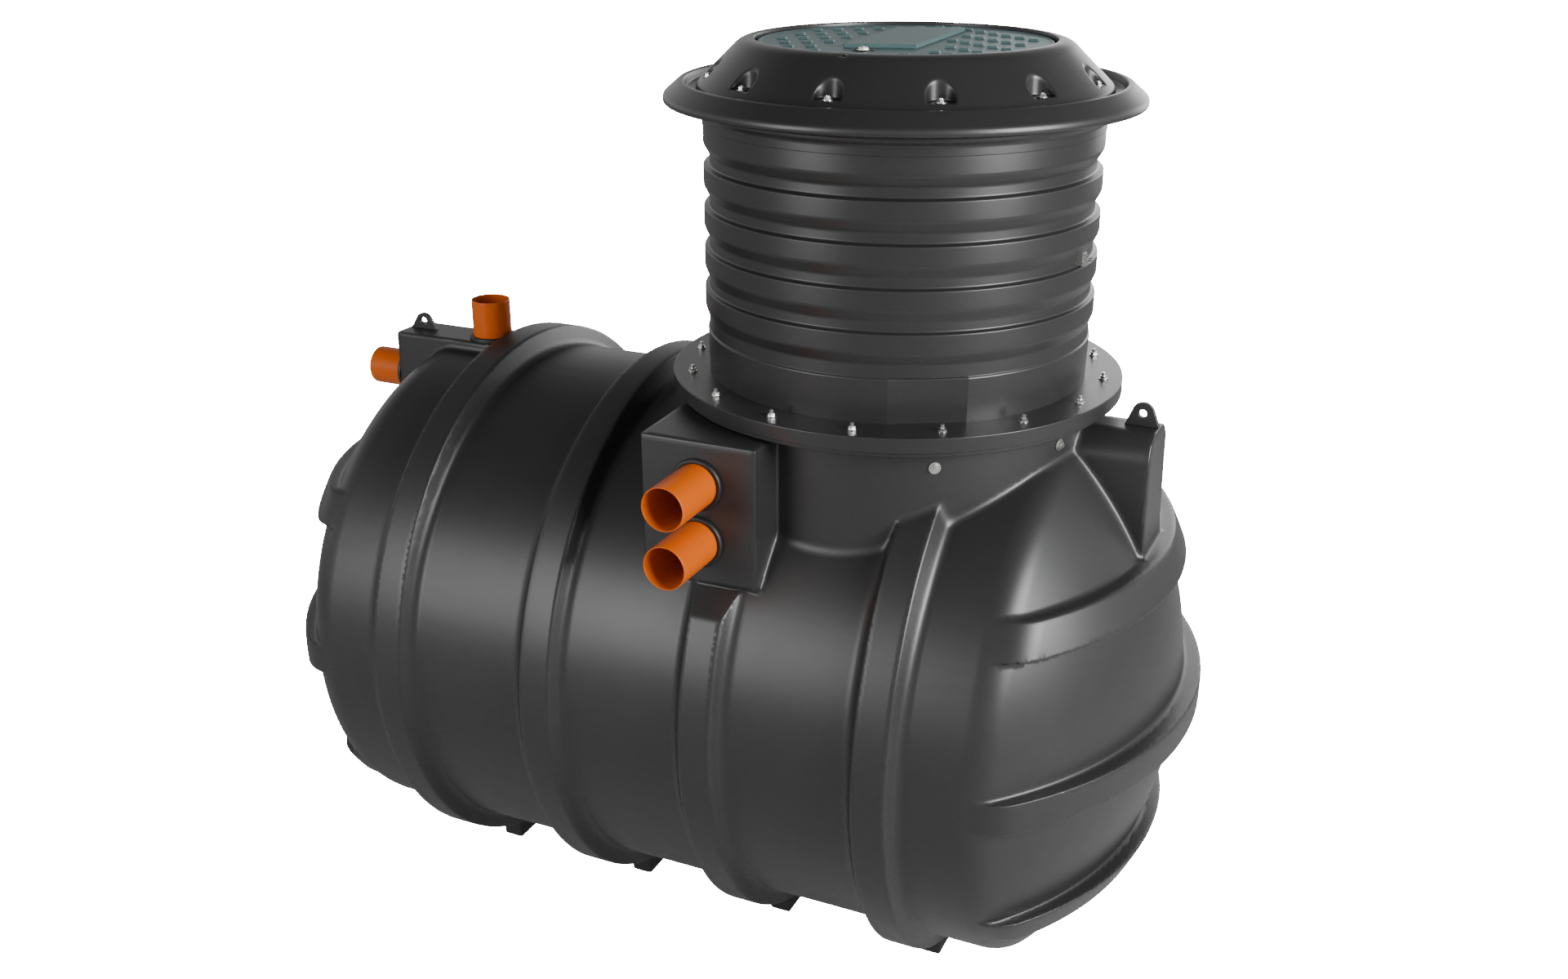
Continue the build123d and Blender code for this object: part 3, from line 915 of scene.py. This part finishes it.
class PLANT_OT_riser(bpy.types.Operator):
    """Turn the riser, its flange and the collar"""
    bl_idname = "plant.riser"
    bl_label = "Riser and flanges"

    def execute(self, context):
        corners = [(480.4, 0, 0), (484, 107, 2.5), (wall_radius(107), 111, 1.5),
                   (wall_radius(112), 112.5, 0)]
        for step in range(5):
            top = LEDGE_FIRST + step * LEDGE_PITCH
            foot = top - LEDGE_HEIGHT
            corners += [(wall_radius(foot), foot, 3), (LEDGE_R, foot + LEDGE_SLOPE, 5)]
            if step < 4:
                corners += [(LEDGE_R, top, 3), (wall_radius(top), top + 3, 4)]
        corners += [(LEDGE_R, 615.6, 0), (WALL_R, 615.6, 0), (WALL_R, 626, 0), (BORE_R, 626, 0),
                    (BORE_R, 0, 0)]
        riser = turned("riser_wall", corners, FLAT_SEGMENTS, FLAT_ANGLE, change=flattened,
                       sharp=on_flat_edge)
        keep(riser, "riser_plastic", "riser")
        for name, solid, slot, corners in (
                ("flange_plate", "riser_flange", "riser_plastic", [
                    (BORE_R, -37, 0), (575, -37, 2.5), (575, 0, 3), (484, 0, 0), (BORE_R, 0, 0)]),
                ("gasket_ring", "flange_gasket", "seal_rubber", [
                    (498, -40, 0), (560, -40, 0.5), (560, -37, 0.5), (498, -37, 0)]),
                ("turret_flange", "neck_flange", "tank_plastic", [
                    (498, -50, 0), (562, -50, 2), (562, -40, 2), (498, -40, 0)]),
                ("collar_ring", "collar", "riser_plastic", [
                    (WALL_R, 616, 0), (491.5, 616, 1.5), (491.5, 637.4, 4), (501, 648.4, 4),
                    (501, 655, 3), (585, 671, 7), (585, 688, 8), (546, 721.4, 5), (533.5, 721.4, 4),
                    (527.5, 702, 3), (504, 694, 0), (WALL_R, 626.4, 0)])):
            keep(turned(name, corners), slot, solid)
        return {"FINISHED"}


# The cover's frame, in metres from the riser's axis and over the flange's top
CONE_R = 0.504
CONE_FOOT = 0.695
CONE_TOP = 0.817
SEAT_R = 0.363
SEAT_FLOOR = 0.795
POCKET_R = 0.033
POCKET_RING = 0.473
POCKET_FLOOR = 0.727


def cover_field(x, y, z):
    """The cover's frame: a cone with a seat for the lid and scooped pockets for its bolts."""
    x = x - RISER_X
    height = z - FLANGE_TOP
    radial = np.hypot(x, y)
    cone = (radial - CONE_R) * 0.70 + (height - 0.710) * 0.714
    body = smooth_max(cone, height - CONE_TOP, 0.016)
    body = smooth_max(body, radial - CONE_R, 0.006)
    body = np.maximum(body, CONE_FOOT - height)
    seat = np.maximum(radial - SEAT_R, SEAT_FLOOR - height)
    body = smooth_max(body, -seat, 0.005)
    angle = np.arctan2(y, x)
    step = math.tau / 12
    angle = angle - np.round(angle / step) * step
    pocket = np.hypot(radial * np.cos(angle) - POCKET_RING, radial * np.sin(angle)) - POCKET_R
    pocket = smooth_max(pocket, POCKET_FLOOR - height, 0.004)
    body = smooth_max(body, -pocket, 0.005)
    notch = np.maximum(np.maximum(np.abs(x) - 0.008, 0.374 - np.abs(y)), 0.810 - height)
    return smooth_max(body, -notch, 0.002)


class PLANT_OT_cover(bpy.types.Operator):
    """Build the cover's frame and the lid with its tread"""
    bl_idname = "plant.cover"
    bl_label = "Cover and lid"

    def execute(self, context):
        piece = field_piece("cover_cone", cover_field, (RISER_X - 0.505, -0.505, FLANGE_TOP + 0.69),
                            (RISER_X + 0.505, 0.505, FLANGE_TOP + 0.818), 0.005, 150000)
        keep(piece, "riser_plastic", "cover_frame")
        lid = turned("lid_plate", [
            (0.02, 795, 0), (355, 795, 1), (355, 809, 2.5), (347, 809, 1), (345, 807.5, 1),
            (0.02, 807.5, 0)])
        keep(lid, "lid_plastic", "lid")
        panel = plate("lid_raised_panel", [
            (-0.077, -0.205), (0.085, -0.155), (0.065, 0.259), (-0.097, 0.209)], 0.807, 0.817)
        keep(panel, "lid_plastic", "lid_panel")
        tread = grown("lid_tread", tread_tree(), AXIS + Vector((0, 0, 0.8075)), Reach=0.325,
                      Columns=16, Rows=13, Lean=0.72, Clear_half_length=0.112, Clear_half_width=0.262,
                      Clear_middle=(-0.006, -0.012, 0), Turn=math.radians(2.8),
                      Block=(0.026, 0.011, 0.0055))
        keep(tread, "lid_plastic")
        lock_place = AXIS + Vector((-0.013, -0.238, 0))
        seat = turned("lid_lock_seat", [
            (0.02, 807.9, 0), (20, 807.9, 1), (22, 810.5, 1), (25.5, 810.5, 1.5), (26.5, 807.2, 0),
            (0.02, 807.2, 0)], 48, place=Matrix.Translation(lock_place))
        keep(seat, "seal_rubber")
        bolted("lid_lock_bolt", lock_place + Vector((0, 0, 0.808)), Count=3, Kept=1, Ring_radius=0.0001,
               Head_radius=0.0125, Head_height=0.007, Washer_radius=0.0165, Stud_radius=0.006,
               Stud_height=0.009)
        return {"FINISHED"}


class PLANT_OT_pipes(bpy.types.Operator):
    """Turn the drain pipes and their seals"""
    bl_idname = "plant.pipes"
    bl_label = "Pipes and seals"

    def execute(self, context):
        outwards = (0, -1, 0)
        ways = {"outlet_pipe_upper": outwards, "outlet_pipe_lower": outwards,
                "inlet_pipe": (-1, 0, 0), "vent_pipe": (0, 0, 1)}
        for name, way in ways.items():
            half = max(size_of(name)[axis] * abs(way[axis]) for axis in range(3)) / 2 / MM
            pipe = turned(name + "_tube", [
                (51.8, -half, 0), (55, -half, 0.8), (55, half - 2, 1.5), (54, half, 0.8),
                (52.2, half, 0.8), (51.8, half - 3, 0.5)], 96, place=lying(middle_of(name), way))
            keep(pipe, "drain_pipe", name)
        for pipe_name, way in ways.items():
            name = pipe_name.replace("pipe", "seal")
            seal = turned(name + "_ring", [
                (55, -6, 0), (66, -6, 1), (66, 2, 2), (63.5, 6, 2), (57, 6, 1), (55, 4.5, 0.5)],
                96, place=lying(middle_of(name), way))
            keep(seal, "seal_rubber", name)
        return {"FINISHED"}


class PLANT_OT_fixings(bpy.types.Operator):
    """Set the bolts of the flange, the turret and the cover"""
    bl_idname = "plant.fixings"
    bl_label = "Bolts"

    def execute(self, context):
        bolted("flange_hex_bolts", AXIS, "flange_bolts", Count=16, Ring_radius=0.528,
               First_angle=math.radians(189.65), Head_radius=0.009, Head_height=0.0085,
               Washer_radius=0.0115, Stud_radius=0.005, Stud_height=0.017)
        bolted("turret_bolts", AXIS + Vector((0, 0, -0.096)), Count=9, Kept=7, Sides=24,
               Ring_radius=0.5105, First_angle=math.radians(-59), Outwards=1.0, Head_radius=0.0095,
               Head_height=0.0085, Washer_radius=0.0145, Stud_radius=0.005, Stud_height=0.013)
        bolted("cover_bolts", AXIS + Vector((0, 0, 0.7275)), Count=12, Ring_radius=0.474,
               Head_radius=0.0085, Head_height=0.0085, Washer_radius=0.0125, Stud_radius=0.0045,
               Stud_height=0.011)
        angle = math.radians(-7.0)
        clip_foot = AXIS + Vector((0, 0, 0.336))
        clip_place = clip_foot + Vector((math.cos(angle), math.sin(angle), 0)) * 0.4835
        clip = block("riser_clip", (0.018, 0.030, 0.032),
                     Matrix.Translation(clip_place) @ Matrix.Rotation(angle, 4, "Z"))
        keep(clip, "zinc_steel")
        bolted("clip_bolt", clip_foot, Count=3, Kept=1, Ring_radius=0.4925, First_angle=angle,
               Outwards=1.0, Head_radius=0.0075, Head_height=0.006, Washer_radius=0.0115,
               Stud_radius=0.004, Stud_height=0.017)
        flat_way = (math.cos(FLAT_ANGLE), math.sin(FLAT_ANGLE), 0)
        # Painted shade: near-black rubber discs on the nameplate's flat stand in for the dark inside its
        # two holes, which are not cut
        for number, (side, depth) in enumerate(((0.1808, -0.4397), (0.2702, -0.3897))):
            hole = turned(f"nameplate_hole_{number + 1}", [
                (0.02, -1, 0), (3, -1, 0), (3, 1.8, 0), (0.02, 1.8, 0)], 24,
                place=lying(AXIS + Vector((side, depth, 0.0645)), flat_way))
            keep(hole, "seal_rubber")
        return {"FINISHED"}


# The studio

class StageLayout(bpy.types.PropertyGroup):
    """The camera and the studio."""
    azimuth: bpy.props.FloatProperty(
        name="Azimuth", description="Turn of the camera to the riser end", default=24.5)
    pitch: bpy.props.FloatProperty(
        name="Pitch", description="Tilt of the camera below the horizon", default=21.85)
    lens: bpy.props.FloatProperty(
        name="Lens", description="Focal length on a 36 mm sensor, in millimetres", default=36.44)
    camera_x: bpy.props.FloatProperty(
        name="Camera X", description="Camera's place along the tank", unit="LENGTH", default=1.367)
    camera_y: bpy.props.FloatProperty(
        name="Camera Y", description="Camera's place to the side", unit="LENGTH", default=-3.701)
    camera_z: bpy.props.FloatProperty(
        name="Camera Z", description="Camera's height over the flange", unit="LENGTH", default=1.2245)


def area_light(name, place, target, size, power):
    """A soft rectangular light that faces a point."""
    light = bpy.data.lights.new(name, "AREA")
    light.shape = "RECTANGLE"
    light.size, light.size_y = size
    light.energy = power
    lamp = bpy.data.objects.new(name, light)
    lamp.location = place
    aim = Vector(target) - Vector(place)
    lamp.rotation_euler = aim.to_track_quat("-Z", "Y").to_euler()
    bpy.context.scene.collection.objects.link(lamp)


def white_to_camera(tree, shader, plain_kind, out_name):
    """Let the camera see plain white, and every other ray the shader."""
    plain = node(tree, plain_kind, {"Color": (1, 1, 1, 1), "Strength": 40.0})
    seen = node(tree, "ShaderNodeLightPath").outputs["Is Camera Ray"]
    blend = node(tree, "ShaderNodeMixShader", {0: seen, 1: shader, 2: plain})
    tree.links.new(blend.outputs[0], tree.nodes[out_name].inputs["Surface"])


class PLANT_OT_stage(bpy.types.Operator):
    """Set the floor, the lights and the camera"""
    bl_idname = "plant.stage"
    bl_label = "Stage"

    def execute(self, context):
        layout = context.scene.plant_stage
        floor_mesh = bpy.data.meshes.new("studio floor")
        reach = 40.0
        corners = [(-reach, -reach, 0), (reach, -reach, 0), (reach, reach, 0), (-reach, reach, 0)]
        floor_mesh.from_pydata(corners, [], [(0, 1, 2, 3)])
        floor = bpy.data.objects.new("studio_floor", floor_mesh)
        context.scene.collection.objects.link(floor)
        pale = bpy.data.materials.new("pale floor")
        pale.use_nodes = True
        shader = pale.node_tree.nodes["Principled BSDF"]
        for label, value in (("Base Color", (0.4, 0.4, 0.4, 1)), ("Roughness", 0.9),
                             ("Emission Color", (1, 1, 1, 1)), ("Emission Strength", 0.12)):
            shader.inputs[label].default_value = value
        white_to_camera(pale.node_tree, shader, "ShaderNodeEmission", "Material Output")
        floor_mesh.materials.append(pale)
        world = bpy.data.worlds.new("studio")
        world.use_nodes = True
        context.scene.world = world
        tree = world.node_tree
        back = tree.nodes["Background"]
        split = node(tree, "ShaderNodeSeparateXYZ", {
            0: node(tree, "ShaderNodeTexCoord").outputs["Generated"]})
        ramp = node(tree, "ShaderNodeValToRGB", {0: split.outputs["Z"]})
        for number, (height, grey) in enumerate(((0.05, 1), (0.75, 0.12))):
            ramp.color_ramp.elements[number].position = height
            ramp.color_ramp.elements[number].color = (grey, grey, grey, 1)
        tree.links.new(ramp.outputs["Color"], back.inputs["Color"])
        back.inputs["Strength"].default_value = 1.0
        white_to_camera(tree, back, "ShaderNodeBackground", "World Output")
        middle = (0.1, 0, 1.1)
        area_light("left light", (-2.3, -4.9, 2.6), middle, (2.4, 2.6), 155)
        area_light("end light", (4.5, -1.2, 2.9), (1.2, 0, 1.2), (1.8, 2.0), 370)
        area_light("back light", (1.0, 5.0, 2.4), middle, (4.0, 2.0), 100)
        camera = bpy.data.cameras.new("camera")
        camera.lens = layout.lens
        camera.sensor_width = 36.0
        camera.clip_end = 200
        view = bpy.data.objects.new("camera", camera)
        view.location = AXIS + Vector((layout.camera_x, layout.camera_y, layout.camera_z))
        view.rotation_euler = (math.radians(90 - layout.pitch), 0, math.radians(layout.azimuth))
        context.scene.collection.objects.link(view)
        context.scene.camera = view
        return {"FINISHED"}


class PLANT_PT_panel(bpy.types.Panel):
    """The plant's operators in the sidebar"""
    bl_idname = "PLANT_PT_panel"
    bl_label = "Sewage treatment plant"
    bl_space_type = "VIEW_3D"
    bl_region_type = "UI"
    bl_category = "Plant"

    def draw(self, context):
        for step in STEPS:
            self.layout.operator(step.bl_idname)


STEPS = (PLANT_OT_skins, PLANT_OT_tank, PLANT_OT_riser, PLANT_OT_cover, PLANT_OT_pipes, PLANT_OT_fixings,
         PLANT_OT_stage)
GROUPS = {"plant_look": PlantLook, "plant_stage": StageLayout}


def register():
    for group in GROUPS.values():
        bpy.utils.register_class(group)
    for name, group in GROUPS.items():
        setattr(bpy.types.Scene, name, bpy.props.PointerProperty(type=group))
    for step in STEPS:
        bpy.utils.register_class(step)
    bpy.utils.register_class(PLANT_PT_panel)


def unregister():
    bpy.utils.unregister_class(PLANT_PT_panel)
    for step in reversed(STEPS):
        bpy.utils.unregister_class(step)
    for name, group in GROUPS.items():
        delattr(bpy.types.Scene, name)
        bpy.utils.unregister_class(group)


def main():
    register()
    for step in STEPS:
        section, name = step.bl_idname.split(".")
        getattr(getattr(bpy.ops, section), name)()


if __name__ == "__main__":
    main()
